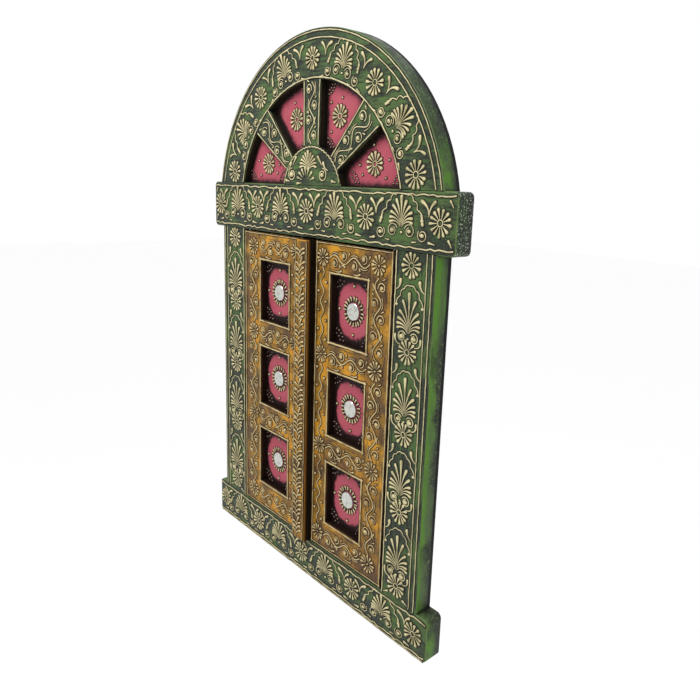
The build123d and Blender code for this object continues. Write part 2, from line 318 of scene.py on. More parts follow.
def with_caps(points, radii, extra):
    """Points, radii and height shares of a stroke with its ends rounded off."""
    p = np.array(points, float)
    r = np.array(radii, float) + extra
    ends = []
    for i, j in ((0, 1), (-1, -2)):
        way = p[i] - p[j]
        way /= np.linalg.norm(way) or 1
        caps = ROUND_CAP if radii[i] > ROUND_CAP_FROM else SHORT_CAP
        ends.append([(p[i] + way * r[i] * a, r[i] * b, b) for a, b in caps])
    first, last = ends
    rows = first[::-1] + [(a, b, 1.0) for a, b in zip(p, r)] + last
    return [np.array(column) for column in zip(*rows)]


class StrokeMesh:
    """Collects closed strokes that stand towards -Y from a flat face.

    A stroke's kind is its place among the materials given to build: 0 for paste, 1 for the wash
    round it and 2 for a dimmer paste.
    """

    def __init__(self):
        self.verts, self.faces, self.kinds, self.smooth = [], [], [], []
        self.count = 0

    def add_tube(self, points, radii, rises, section, face_y, kind):
        """Closed tube with a half-round section, flat on its wall side."""
        tangent = np.gradient(points, axis=0)
        tangent /= np.maximum(np.linalg.norm(tangent, axis=1), 1e-9)[:, None]
        across = np.stack([-tangent[:, 1], tangent[:, 0]], 1)
        angles = np.array(section)
        side = across[:, None, :] * (radii[:, None] * np.cos(angles))[:, :, None]
        flat = points[:, None, :] + side
        lift = rises[:, None] * np.sin(angles)
        lift[:, 0] = lift[:, -1] = -SUNK
        block = np.stack([flat[..., 0], face_y - lift, flat[..., 1]], -1)
        rows, cols = block.shape[:2]
        start = self.count
        self.verts.append(block.reshape(-1, 3))
        self.count += rows * cols
        for i in range(rows - 1):
            a, b = start + i * cols, start + (i + 1) * cols
            for j in range(cols - 1):
                self.faces.append((a + j, a + j + 1, b + j + 1, b + j))
                self.kinds.append(kind)
                self.smooth.append(True)
            self.faces.append((a + cols - 1, a, b, b + cols - 1))
            self.kinds.append(kind)
            self.smooth.append(False)
        self.faces.append(tuple(start + j for j in reversed(range(cols))))
        self.faces.append(tuple(start + (rows - 1) * cols + j for j in range(cols)))
        self.kinds += [kind, kind]
        self.smooth += [True, True]

    def add(self, strokes, face_y, paste=0):
        """Paste strokes, each with the flat wash that lies round it."""
        for points, radii in strokes:
            p, r, share = with_caps(points, radii, 0)
            self.add_tube(p, r, PASTE_SHOULDER * share + PASTE_CROWN * r, PASTE_SECTION, face_y, paste)
            p, r, share = with_caps(points, radii, HALO)
            self.add_tube(p, r, HALO_RISE * share, HALO_SECTION, face_y, 1)

    def stain(self, strokes, face_y):
        """Only the flat wash, with no paste on it."""
        for points, radii in strokes:
            p, r, share = with_caps(points, radii, 0)
            self.add_tube(p, r, STAIN_RISE * share, HALO_SECTION, face_y, 1)

    def build(self, name, body, materials):
        """One mesh of all the strokes, which rides on a body."""
        mesh = bpy.data.meshes.new(name)
        verts = np.concatenate(self.verts) * MM
        mesh.from_pydata(verts.tolist(), [], self.faces)
        for material in materials:
            mesh.materials.append(material)
        mesh.polygons.foreach_set("material_index", self.kinds)
        mesh.polygons.foreach_set("use_smooth", self.smooth)
        mesh.update()
        piece = bpy.data.objects.new(name, mesh)
        bpy.context.scene.collection.objects.link(piece)
        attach(piece, body)


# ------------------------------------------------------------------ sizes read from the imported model
# In millimetres, as are all sizes of ornament; Blender's own coordinates are metres.

lintel_low, lintel_high = box_mm("lintel")
base_low, base_high = box_mm("base_rail")
front_y = lintel_low[1]
sunk_y = box_mm("fan_hub")[1][1]  # the hub stands on the sunk panes
arch_low, arch_high = box_mm("arch_band")
arch_base = lintel_high[2]
fan_low, fan_high = box_mm("fan_panel")
hub_low, hub_high = box_mm("fan_hub")
batten_low, batten_high = box_mm("centre_batten")
mirrors_low, mirrors_high = box_mm("right_mirrors")
mirror_radius = (mirrors_high[0] - mirrors_low[0]) / 2
mirror_x = mirrors_low[0] + mirror_radius
top_mirror_z = mirrors_high[2] - mirror_radius
mirror_pitch = (top_mirror_z - mirrors_low[2] - mirror_radius) / 2


def circle_centre(low, high):
    """Radius and centre height of the circle whose cap stands on the lintel in this box."""
    half, rise = (high[0] - low[0]) / 2, high[2] - arch_base
    radius = (half * half + rise * rise) / (2 * rise)
    return radius, high[2] - radius


arch_radius, arch_z = circle_centre(arch_low, arch_high)
fan_radius, fan_z = circle_centre(fan_low, fan_high)
hub_radius, hub_z = circle_centre(hub_low, hub_high)


# ------------------------------------------------------------------ materials


class Paint:
    """A Principled material and short ways to wire its pattern nodes."""

    def __init__(self, name, roughness):
        self.material = bpy.data.materials.new(name)
        self.material.use_nodes = True
        self.tree = self.material.node_tree
        self.shader = self.tree.nodes["Principled BSDF"]
        self.shader.inputs["Roughness"].default_value = roughness
        self.shader.inputs["Specular IOR Level"].default_value = 0.16
        coordinates = self.tree.nodes.new("ShaderNodeTexCoord")
        self.place = coordinates.outputs["Object"]
        split = self.node("ShaderNodeSeparateXYZ", Vector=self.place)
        self.x, self.y, self.z = split.outputs
        facing = self.node("ShaderNodeSeparateXYZ", Vector=coordinates.outputs["Normal"])
        self.facing_wall = facing.outputs["Y"]

    def node(self, kind, settings=None, **inputs):
        made = self.tree.nodes.new(kind)
        for key, value in (settings or {}).items():
            setattr(made, key, value)
        for key, value in inputs.items():
            self.feed(made.inputs[key.replace("_", " ")], value)
        return made

    def feed(self, socket, value):
        if isinstance(value, bpy.types.NodeSocket):
            self.tree.links.new(value, socket)
        else:
            socket.default_value = value

    def math(self, operation, a, b=0.0, c=0.0):
        made = self.tree.nodes.new("ShaderNodeMath")
        made.operation = operation
        for socket, value in zip(made.inputs, (a, b, c)):
            self.feed(socket, value)
        return made.outputs[0]

    def band(self, value, low, high, out_low=0.0, out_high=1.0):
        """Smooth step of a value between two limits."""
        made = self.node("ShaderNodeMapRange", {"interpolation_type": "SMOOTHSTEP"}, Value=value)
        limits = {"From Min": low, "From Max": high, "To Min": out_low, "To Max": out_high}
        for key, limit in limits.items():
            made.inputs[key].default_value = limit
        return made.outputs["Result"]

    def mix(self, share, a, b):
        made = self.tree.nodes.new("ShaderNodeMix")
        made.data_type = "RGBA"
        self.feed(made.inputs[0], share)
        for socket, value in ((made.inputs[6], a), (made.inputs[7], b)):
            self.feed(socket, value if isinstance(value, bpy.types.NodeSocket) else (*value, 1))
        return made.outputs[2]

    def noise(self, scale, stretch=(1, 1, 1), detail=3.0, seed=0.0):
        """Noise over the frame's coordinates; scale is in features per metre."""
        moved = self.node("ShaderNodeMapping", Vector=self.place)
        moved.inputs["Location"].default_value = (seed, seed * 0.7, seed * 1.3)
        moved.inputs["Scale"].default_value = stretch
        made = self.node("ShaderNodeTexNoise", Vector=moved.outputs[0])
        made.inputs["Scale"].default_value = scale
        made.inputs["Detail"].default_value = detail
        made.inputs["Roughness"].default_value = 0.55
        return made.outputs[0]

    def crevice(self, reach):
        """1 in the open, towards 0 in corners and beside raised strokes."""
        made = self.node("ShaderNodeAmbientOcclusion", {"samples": 12})
        made.inputs["Distance"].default_value = reach
        return made.outputs["AO"]

    def bump(self, height, strength, distance):
        """Relief from a height; distance is in metres."""
        made = self.node("ShaderNodeBump", Height=height)
        made.inputs["Strength"].default_value = strength
        made.inputs["Distance"].default_value = distance
        self.tree.links.new(made.outputs[0], self.shader.inputs["Normal"])

    def colour(self, value):
        self.feed(self.shader.inputs["Base Color"], value)

    def roughness(self, value):
        self.feed(self.shader.inputs["Roughness"], value)


# base colours, linear
SLATE = (0.020, 0.025, 0.019)
GREEN = (0.055, 0.094, 0.030)
LEAF_GREEN = (0.062, 0.168, 0.010)
PALE_GREEN = (0.13, 0.19, 0.06)
NEAR_BLACK = (0.006, 0.007, 0.006)
REVEAL_SHADE = (0.012, 0.010, 0.005)
# pale grey for the painted highlights on the lintel's ends
GLINT_GREY = (0.42, 0.46, 0.38)
OCHRE = (0.47, 0.215, 0.012)
DULL_OCHRE = (0.22, 0.112, 0.012)
ORANGE_BROWN = (0.20, 0.080, 0.010)
BROWN_WASH = (0.080, 0.041, 0.015)
DARK_BROWN = (0.011, 0.005, 0.003)
# near black of the batten's side: dark paint and painted shade in the corner beside it
BATTEN_BLACK = (0.004, 0.002, 0.001)
BACK_STAIN = (0.060, 0.036, 0.020)
ROSE = (0.36, 0.072, 0.098)
ROSE_DEEP = (0.27, 0.03, 0.055)
MAROON = (0.012, 0.004, 0.004)
MAROON_RIM = (0.09, 0.012, 0.018)
CREAM = (0.54, 0.48, 0.27)
CREAM_DULL = (0.26, 0.235, 0.115)
CREAM_FLANK = (0.055, 0.045, 0.025)
TAN = (0.50, 0.39, 0.19)
TAN_DULL = (0.23, 0.15, 0.055)
TAN_FLANK = (0.06, 0.03, 0.014)
DIM = (0.40, 0.31, 0.23)
DIM_DULL = (0.15, 0.08, 0.06)
SILVER = (0.62, 0.63, 0.58)
TARNISH = (0.40, 0.41, 0.37)
STEEL = (0.24, 0.24, 0.25)
STEEL_BRIGHT = (0.40, 0.40, 0.40)
BOARD = (0.018, 0.014, 0.010)
BOARD_FIBRE = (0.060, 0.045, 0.028)
BOARD_RUB = (0.10, 0.075, 0.045)


def turned_sideways(p):
    """1 on the sides and back of a member, 0 on its flat front."""
    return p.band(p.facing_wall, -0.75, -0.35)


def arris_wear_and_highlight(p):
    """1 on the rounded edge between front and side, painted lighter for wear of the paint and as a highlight.
    """
    off_front = p.band(p.facing_wall, -0.97, -0.88)
    off_side = p.band(p.facing_wall, -0.45, -0.25, 1, 0)
    return p.math("MULTIPLY", off_front, off_side)


def inside_openings(p):
    """1 on the sides that face the doorway or the fan window, which are painted near black as shade."""
    height = p.math("SUBTRACT", p.z, fan_z * MM)
    squares = p.math("ADD", p.math("MULTIPLY", p.x, p.x), p.math("MULTIPLY", height, height))
    from_centre = p.math("SQRT", squares)
    in_fan = p.math("LESS_THAN", from_centre, (fan_radius + 2) * MM)
    above_lintel = p.math("GREATER_THAN", p.z, (lintel_high[2] - 1) * MM)
    in_fan = p.math("MULTIPLY", in_fan, above_lintel)
    doorway_half = box_mm("right_post")[0][0] + 0.6
    in_door = p.math("LESS_THAN", p.math("ABSOLUTE", p.x), doorway_half * MM)
    in_door = p.math("MULTIPLY", in_door, p.math("LESS_THAN", p.z, (lintel_low[2] + 1) * MM))
    return p.math("MAXIMUM", in_fan, in_door)


def green_paint(name, grain):
    """Green over slate, with dark wash and painted shade in the crevices; brush marks run along grain."""
    p = Paint(name, 0.5)
    cloud = p.noise(34, seed=1.0)
    streak = p.noise(80, stretch=grain, detail=5, seed=2.0)
    fleck = p.noise(800, detail=3, seed=3.0)
    brushed = p.noise(560, stretch=grain, detail=4, seed=9.0)
    cover = p.math("ADD", cloud, p.math("MULTIPLY", p.math("ADD", streak, brushed), 0.35))
    front = p.mix(p.band(cover, 0.80, 1.0), SLATE, GREEN)
    front = p.mix(p.band(brushed, 0.52, 0.72, 0, 0.3), front, LEAF_GREEN)
    front = p.mix(p.band(fleck, 0.54, 0.70, 0, 0.4), front, PALE_GREEN)
    front = p.mix(p.band(brushed, 0.28, 0.46, 0.75, 0), front, NEAR_BLACK)
    # the sides: bright near the front, dabbed black towards the wall
    drift = p.math("ADD", p.math("MULTIPLY", cloud, 0.022), p.math("MULTIPLY", fleck, 0.006))
    depth = p.math("ADD", p.y, p.math("SUBTRACT", drift, 0.014))
    side = p.mix(p.band(streak, 0.42, 0.62), LEAF_GREEN, GREEN)
    side = p.mix(p.band(depth, -0.0095, -0.0030), side, SLATE)
    # pale flecks on the sides: rubbed paint and painted glossy highlights
    rub_and_glint = p.math("ADD", fleck, p.math("MULTIPLY", cloud, 0.6))
    side = p.mix(p.band(rub_and_glint, 0.86, 1.0, 0, 0.6), side, PALE_GREEN)
    side = p.mix(p.band(cloud, 0.56, 0.70, 0, 0.6), side, NEAR_BLACK)
    # the arch's rim is mostly black
    height = p.math("ADD", p.z, p.math("MULTIPLY", fleck, 0.03))
    high_up = p.band(height, arch_base * MM + 0.0243, arch_base * MM + 0.0543, 0, 0.8)
    side = p.mix(high_up, side, p.mix(p.band(brushed, 0.5, 0.68), NEAR_BLACK, GREEN))
    # the lintel's ends stand out past the base rail's and carry pale flecks, painted highlights on the
    # varnish
    lintel_end = p.math("GREATER_THAN", p.math("ABSOLUTE", p.x), (base_high[0] + 1) * MM)
    painted_glints = p.mix(p.band(fleck, 0.53, 0.70), NEAR_BLACK, GLINT_GREY)
    side = p.mix(p.math("MULTIPLY", lintel_end, 0.8), side, painted_glints)
    # the sides inside the doorway and the fan window: near black, painted shade of these recesses
    side = p.mix(inside_openings(p), side, REVEAL_SHADE)
    painted = p.mix(turned_sideways(p), front, side)
    # lighter rounded edges: wear of the paint and a painted highlight
    painted = p.mix(p.math("MULTIPLY", arris_wear_and_highlight(p), 0.55), painted, PALE_GREEN)
    # darker by occlusion in corners, gaps and beside raised strokes: dark wash and painted shade
    wash_and_shade = p.band(p.crevice(0.0035), 0.55, 0.95, 1, 0)
    p.colour(p.mix(p.math("MULTIPLY", wash_and_shade, 0.85), painted, NEAR_BLACK))
    p.roughness(p.band(cloud, 0.35, 0.65, 0.28, 0.55))
    p.bump(p.math("ADD", streak, p.math("MULTIPLY", fleck, 0.6)), 0.45, 0.0007)
    return p.material


def ochre_paint(name, grain):
    """Bright ochre, mostly under a brown wash that follows the brush."""
    p = Paint(name, 0.5)
    cloud = p.noise(48, seed=5.0)
    streak = p.noise(70, stretch=grain, detail=5, seed=6.0)
    fleck = p.noise(800, detail=3, seed=3.0)
    brushed = p.noise(520, stretch=grain, detail=4, seed=9.0)
    cover = p.math("ADD", cloud, p.math("MULTIPLY", p.math("ADD", streak, brushed), 0.35))
    front = p.mix(p.band(cover, 0.74, 0.90), BROWN_WASH, DULL_OCHRE)
    front = p.mix(p.band(cover, 0.88, 1.0), front, OCHRE)
    front = p.mix(p.band(p.noise(48, seed=8.0), 0.5, 0.72, 0, 0.5), front, ORANGE_BROWN)
    front = p.mix(p.band(fleck, 0.54, 0.72, 0, 0.3), front, TAN)
    front = p.mix(p.band(brushed, 0.28, 0.46, 0.7, 0), front, DARK_BROWN)
    # the sides: orange brown along the front edge, dark behind it, first leaf and then batten
    leaf_front, batten_front = front_y * MM, batten_low[1] * MM
    # dark behind the front edge: dark paint and painted shade in the gaps round the leaves and beside the
    # batten
    side = p.mix(p.band(p.y, leaf_front + 0.0002, leaf_front + 0.0014), ORANGE_BROWN, DARK_BROWN)
    batten_band = p.band(p.y, batten_front + 0.0004, batten_front + 0.0036)
    batten_side = p.mix(batten_band, ORANGE_BROWN, BATTEN_BLACK)
    side = p.mix(p.math("LESS_THAN", p.y, leaf_front - 0.0004), side, batten_side)
    painted = p.mix(turned_sideways(p), front, side)
    # lighter rounded edges: wear of the paint and a painted highlight
    painted = p.mix(p.math("MULTIPLY", arris_wear_and_highlight(p), 0.7), painted, OCHRE)
    # darker by occlusion in corners, gaps and beside raised strokes: dark wash and painted shade
    wash_and_shade = p.band(p.crevice(0.003), 0.5, 0.95, 1, 0)
    p.colour(p.mix(p.math("MULTIPLY", wash_and_shade, 0.85), painted, DARK_BROWN))
    p.roughness(p.band(streak, 0.3, 0.8, 0.35, 0.6))
    p.bump(p.math("ADD", streak, p.math("MULTIPLY", fleck, 0.6)), 0.45, 0.0007)
    return p.material


def rose_ground(p, rose_share):
    """Rose where the share is 1, near-black where it is 0, with a brushed edge between.

    The sides and the back are stained brown, along the grain.
    """
    speck = p.noise(240, detail=2, seed=3.0)
    cloud = p.noise(60, seed=4.0)
    rose = p.mix(p.band(cloud, 0.4, 0.8, 0, 0.45), ROSE, ROSE_DEEP)
    dabs = p.math("ADD", p.math("SUBTRACT", cloud, 0.5), p.math("SUBTRACT", speck, 0.5))
    ragged = p.math("ADD", rose_share, p.math("MULTIPLY", dabs, 0.9))
    ground = p.mix(p.band(ragged, 0.20, 0.75), MAROON, rose)
    fibre = p.noise(240, stretch=(1, 1, 0.1), detail=5, seed=11.0)
    depth = p.math("ADD", fibre, p.math("MULTIPLY", cloud, 0.4))
    stained = p.mix(p.band(depth, 0.6, 0.85), DARK_BROWN, BACK_STAIN)
    p.colour(p.mix(turned_sideways(p), ground, stained))
    p.bump(p.math("ADD", speck, p.math("MULTIPLY", turned_sideways(p), fibre)), 0.3, 0.0004)
    return p.material


ROSE_FIELD = (17.5, 20.5)  # half width and half height of the rose behind an opening
ROSE_SQUARENESS = 2.6  # 2 would be an ellipse


def leaf_rose():
    """Leaf board: a rounded rose field behind each mirror, black in the corners."""
    p = Paint("rose_paint_leaf", 0.55)
    across = p.math("SUBTRACT", p.math("ABSOLUTE", p.x), mirror_x * MM)
    up = p.math("SUBTRACT", p.z, top_mirror_z * MM)
    up = p.math("WRAP", up, mirror_pitch / 2 * MM, -mirror_pitch / 2 * MM)
    powers = []
    for offset, half_size in zip((across, up), ROSE_FIELD):
        share = p.math("ABSOLUTE", p.math("DIVIDE", offset, half_size * MM))
        powers.append(p.math("POWER", share, ROSE_SQUARENESS))
    away = p.math("ADD", *powers)
    return rose_ground(p, p.band(away, 0.55, 1.55, 1, 0))


def fan_rose():
    """Fan panel: rose that blackens beside the ribs, the hub and the arch, by occlusion: dark paint and
    painted shade.
    """
    p = Paint("rose_paint_fan", 0.55)
    return rose_ground(p, p.band(p.crevice(0.011), 0.62, 0.92))


def paste(name, light, dull, dark):
    """Raised paste: pale on the crown, darker down its flanks: dark wash and painted shade."""
    p = Paint(name, 0.5)
    mottle = p.noise(150, detail=3, seed=7.0)
    crown = p.mix(p.band(mottle, 0.42, 0.7, 0, 0.8), light, dull)
    # flanks that turn away from the front: darkened as dark wash and painted shade
    flank = p.band(p.math("MULTIPLY", p.facing_wall, -1), 0.25, 0.82, 1, 0)
    p.colour(p.mix(p.math("MULTIPLY", flank, 0.9), crown, dark))
    p.bump(mottle, 0.25, 0.0003)
    return p.material


def wash(name, shade, rim):
    """Dark wash that lies round the strokes."""
    p = Paint(name, 0.55)
    p.colour(p.mix(p.band(p.noise(110, seed=9.0), 0.45, 0.75), shade, rim))
    return p.material


def mirror_glass():
    """Silvered glass, a little clouded."""
    p = Paint("mirror_glass", 0.12)
    p.shader.inputs["Metallic"].default_value = 1.0
    p.colour(p.mix(p.band(p.noise(420, detail=4), 0.45, 0.75), SILVER, TARNISH))
    p.roughness(p.band(p.noise(260, detail=2, seed=2.0), 0.4, 0.8, 0.1, 0.3))
    return p.material


def plain_steel():
    """Brushed sheet steel, brushed from side to side."""
    p = Paint("plain_steel", 0.35)
    p.shader.inputs["Metallic"].default_value = 1.0
    brushed = p.noise(900, stretch=(0.06, 1, 1), detail=3)
    p.colour(p.mix(brushed, STEEL, STEEL_BRIGHT))
    p.roughness(p.band(brushed, 0.3, 0.7, 0.28, 0.45))
    p.bump(brushed, 0.2, 0.0002)
    return p.material


def dark_board():
    """Stained backing board: fibres, a few rubs, pale marks."""
    p = Paint("dark_board", 0.7)
    fibre = p.noise(260, stretch=(1, 1, 0.12), detail=5, seed=11.0)
    cloud = p.noise(14, seed=12.0)
    ground = p.mix(p.band(fibre, 0.35, 0.75), BOARD, BOARD_FIBRE)
    ground = p.mix(p.band(cloud, 0.5, 0.8, 0, 0.5), ground, BOARD_RUB)
    side = p.mix(p.band(fibre, 0.5, 0.8), NEAR_BLACK, SLATE)
    turned = p.band(p.math("ABSOLUTE", p.facing_wall), 0.4, 0.8)
    p.colour(p.mix(turned, side, ground))
    p.bump(fibre, 0.3, 0.0005)
    return p.material


RAIL_NAMES = ("top_rail", "upper_cross_rail", "lower_cross_rail", "bottom_rail")
UPRIGHT = (1, 1, 0.12)  # stretch of a pattern whose grain runs upright
LEVEL = (0.12, 1, 1)
green_upright = green_paint("green_paint_upright", UPRIGHT)
green_level = green_paint("green_paint_level", LEVEL)
ochre_upright = ochre_paint("ochre_paint_upright", UPRIGHT)
ochre_level = ochre_paint("ochre_paint_level", LEVEL)
rose_leaf = leaf_rose()
rose_fan = fan_rose()
cream_paste = paste("cream_paste", CREAM, CREAM_DULL, CREAM_FLANK)
tan_paste = paste("tan_paste", TAN, TAN_DULL, TAN_FLANK)
green_wash = wash("green_wash", NEAR_BLACK, SLATE)
brown_wash = wash("brown_wash", DARK_BROWN, BROWN_WASH)
maroon_wash = wash("maroon_wash", MAROON, MAROON_RIM)
dim_paste = paste("dim_paste", DIM, DIM_DULL, MAROON)
steel = plain_steel()

NODE_PAINT = {
    "backing_board": dark_board(),
    "lintel": green_level,
    "base_rail": green_level,
    "left_post": green_upright,
    "right_post": green_upright,
    "arch_band": green_level,
    "fan_hub": green_level,
    "fan_rib_left": green_upright,
    "fan_rib_centre": green_upright,
    "fan_rib_right": green_upright,
    "fan_panel": rose_fan,
    "pivot_pins": steel,
    "hanger_plate": steel,
    "hanger_screws": steel,
    "centre_batten": ochre_upright,
}
glass = mirror_glass()
for side in ("left", "right"):
    NODE_PAINT[f"{side}_leaf_board"] = rose_leaf
    NODE_PAINT[f"{side}_mirrors"] = glass
    for upright in ("outer_stile", "meeting_stile"):
        NODE_PAINT[f"{side}_{upright}"] = ochre_upright
    for rail in RAIL_NAMES:
        NODE_PAINT[f"{side}_{rail}"] = ochre_level
for node_name, node_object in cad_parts.items():
    node_object.data.materials.clear()
    node_object.data.materials.append(NODE_PAINT[node_name])

GREEN_ORNAMENT = (cream_paste, green_wash)
OCHRE_ORNAMENT = (tan_paste, brown_wash)
PANE_ORNAMENT = (cream_paste, maroon_wash, dim_paste)

# ------------------------------------------------------------------ ornament on the frame

# palmettes and daisies alternate along both rails, as piped by hand on the lintel
PALMETTES_X = (103.0, 30.5, -41.5, -110.0)
DAISIES_X = (138.5, 66.5, -5.0, -76.5, -141.0)
RAIL_LINE_INSET = 3.2
RAIL_LINE_END = 2.0  # the border lines stop this far short of the rail's ends


def rail_ornament(low, high, daisy_reach, squeeze):
    """Wavy border lines and the running pattern of the lintel or the base rail."""
    middle = (low[2] + high[2]) / 2
    work = StrokeMesh()
    end = high[0] - RAIL_LINE_END
    for z in (high[2] - RAIL_LINE_INSET, low[2] + RAIL_LINE_INSET):
        work.add([straight((-end, z), (end, z), wobble=0.8, radius=0.62, step=3.8)], front_y)
    stretch = high[0] / lintel_high[0]
    for x in PALMETTES_X:
        work.add(shifted(running_unit(), x * stretch, middle, scale_v=squeeze), front_y)
    for x in DAISIES_X:
        work.add(daisy((x * stretch, middle + 0.3), daisy_reach), front_y)
    return work


lintel_work = rail_ornament(lintel_low, lintel_high, daisy_reach=9.8, squeeze=1.0)
for s in (-1, 1):
    for v in (12.5, -12.5):
        lintel_work.add([drop((s * 149, v - 2), (s * 146.5, v + 2), fat=1.1)], front_y)
lintel_work.build("lintel_ornament", "frame", GREEN_ORNAMENT)

base_work = rail_ornament(base_low, base_high, daisy_reach=9.3, squeeze=0.84)
lowest_line = base_low[2] + 1.3
lowest_end = base_high[0] - 2.5
base_work.add(
    [straight((-lowest_end, lowest_line), (lowest_end, lowest_line), wobble=0.2, radius=0.45)], front_y
)
base_work.build("base_rail_ornament", "frame", GREEN_ORNAMENT)

# posts
POST_UNITS = 4
POST_MIDDLE = 16.0  # of the pattern, from the doorway
POST_LINES = ((1.6, 0.6), (30.3, 0.5), (35.0, 0.5))  # distance from the doorway and radius
POST_DAISY = 9.3
FIRST_DAISY = 9.0  # below the lintel
LAST_DAISY = 12.2  # above the base
for name, s in (("left_post", -1), ("right_post", 1)):
    low, high = box_mm(name)
    inner = low[0] if s > 0 else high[0]
    work = StrokeMesh()
    for inset, radius in POST_LINES:
        x = inner + s * inset
        work.add([straight((x, high[2]), (x, low[2]), wobble=0.2, radius=radius)], front_y)
    middle = inner + s * POST_MIDDLE
    pitch = (high[2] - low[2] - FIRST_DAISY - LAST_DAISY) / POST_UNITS
    for k in range(POST_UNITS + 1):
        z = high[2] - FIRST_DAISY - k * pitch
        work.add(daisy((middle + uneven(0.6), z), POST_DAISY), front_y)
        if k < POST_UNITS:
            work.add(shifted(post_unit(), middle, z, scale_v=pitch / POST_UNIT_HEIGHT), front_y)
        else:
            for side in (-1, 1):
                tail, head = (middle + side * 12.5, z - 10.5), (middle + side * 8.5, z - 8.5)
                work.add([drop(tail, head, fat=1.2)], front_y)
    work.build(f"{name}_ornament", "frame", GREEN_ORNAMENT)

# arch band


def arc_line(radius, centre_z, floor_z, thickness):
    """Line along a circle, down to a height on both sides."""
    low_angle = atan2(floor_z - centre_z, sqrt(radius**2 - (floor_z - centre_z) ** 2))
    count = int(radius * (pi - 2 * low_angle) / 3)
    points = []
    for k in range(count + 1):
        angle = low_angle + (pi - 2 * low_angle) * k / count
        points.append(around((0, centre_z), radius + uneven(0.15), angle))
    return line(points, thickness)


ARCH_LINE_INSET = 7.0
FAN_LINE_INSET = 1.5
ARCH_MOTIFS = 9
ARCH_STEP = 18  # degrees from one motif to the next
UNIT_HALF_HEIGHT = 15.6  # of the running unit
UNIT_MIDDLE = 1.5  # its middle above its zero line
arch_work = StrokeMesh()
for radius, centre_z, thickness in (
    (arch_radius - 1.9, arch_z, 0.5),
    (arch_radius - ARCH_LINE_INSET, arch_z, 0.55),
    (fan_radius + FAN_LINE_INSET, fan_z, 0.65),
):
    arch_work.add([arc_line(radius, centre_z, arch_base + 0.6, thickness)], front_y)
for k in range(ARCH_MOTIFS):
    angle = ARCH_STEP * (k + 1)
    # the fan circle stands a little higher than the arch circle, so the band narrows to the crown
    inner_line = fan_radius + FAN_LINE_INSET + (fan_z - arch_z) * sin(radians(angle))
    outer_line = arch_radius - ARCH_LINE_INSET
    middle = (inner_line + outer_line) / 2
    scale = (outer_line - inner_line - 0.8) / 2 / UNIT_HALF_HEIGHT
    if k % 2:
        zero_line = middle - UNIT_MIDDLE * scale
        arch_work.add(round_arch(running_unit(), (0, arch_z), zero_line, angle, scale), front_y)
    else:
        place = around((0, arch_z), middle, radians(angle))
        arch_work.add(daisy(place, 10.4 * scale), front_y)
arch_work.build("arch_band_ornament", "frame", GREEN_ORNAMENT)

# fan hub
hub_work = StrokeMesh()
rim = [around((0, hub_z), hub_radius - 1.4, radians(a)) for a in range(166, 10, -6)]
hub_work.add(cusped(rim, 26, 0.8, radius=0.55)[:1], front_y)
hub_middle = -5.0  # the painter set the hub's flower left of the centre line
hub_work.add(palmette((hub_middle + 1.5, arch_base + 11), 15.5, 13.5, fat=1.4), front_y)
whole_daisy = daisy((0, 0), 12.5, petals=15, fat=1.35, heart=0.45)
half_daisy = [(points, radii) for points, radii in whole_daisy if min(v for _, v in points) > -1.2]
hub_work.add(shifted(half_daisy, hub_middle - 1.5, arch_base + 2.2), front_y)
for s in (-1, 1):
    flourish = scroll((s * 20, 8), 5.2, 90, -s, heart=2.3, thickness=0.6)
    flourish.append(drop((s * 26.5, 11.5), (s * 21.2, 17), bend=0.15 * s))
    flourish.append(drop((s * 19, 15.5), (s * 14.5, 21.5), fat=1.3))
    hub_work.add(shifted(flourish, hub_middle, arch_base), front_y)
for u, v in ((27.5, 3.5), (-32.5, 3.2)):
    hub_work.add([drop((u + 4, arch_base + v - 0.6), (u, arch_base + v), fat=1.6)], front_y)
hub_work.build("fan_hub_ornament", "frame", GREEN_ORNAMENT)

# fan ribs: a line down each long edge and a scroll vine between
RIB_SIDE_ANGLE = 40.5
HUB_EDGE = hub_radius + 0.5
RIB_LINE_INSET = 1.3
# angle, half width at the hub and at the rim, and where the lines end from the hub's centre
ribs = {
    "fan_rib_left": (180 - RIB_SIDE_ANGLE, 7.2, 13.2, 90.0),
    "fan_rib_centre": (90, 10.2, 11.2, 86.0),
    "fan_rib_right": (RIB_SIDE_ANGLE, 7.2, 13.2, 90.0),
}
for name, (angle, hub_half, rim_half, rim_at) in ribs.items():
    work = StrokeMesh()
    length = rim_at - HUB_EDGE
    strokes = []
    for s in (-1, 1):
        at_hub = (s * (hub_half - RIB_LINE_INSET), HUB_EDGE)
        at_rim = (s * (rim_half - RIB_LINE_INSET), rim_at)
        strokes.append(straight(at_hub, at_rim, wobble=0.15))
    swing = 0.3 * (hub_half + rim_half) - 1.8
    spread = rim_half / hub_half - 1
    for points, radii in curling_vine(length - 2, swing, hearts=4, curl=4.4, thickness=0.47):
        wider = [(u * (0.72 + 0.45 * spread * v / length), HUB_EDGE + 1 + v) for u, v in points]
        strokes.append((wider, radii))
    work.add(shifted(strokes, 0, hub_z, turn=angle - 90), front_y)
    work.build(f"{name}_ornament", "frame", GREEN_ORNAMENT)

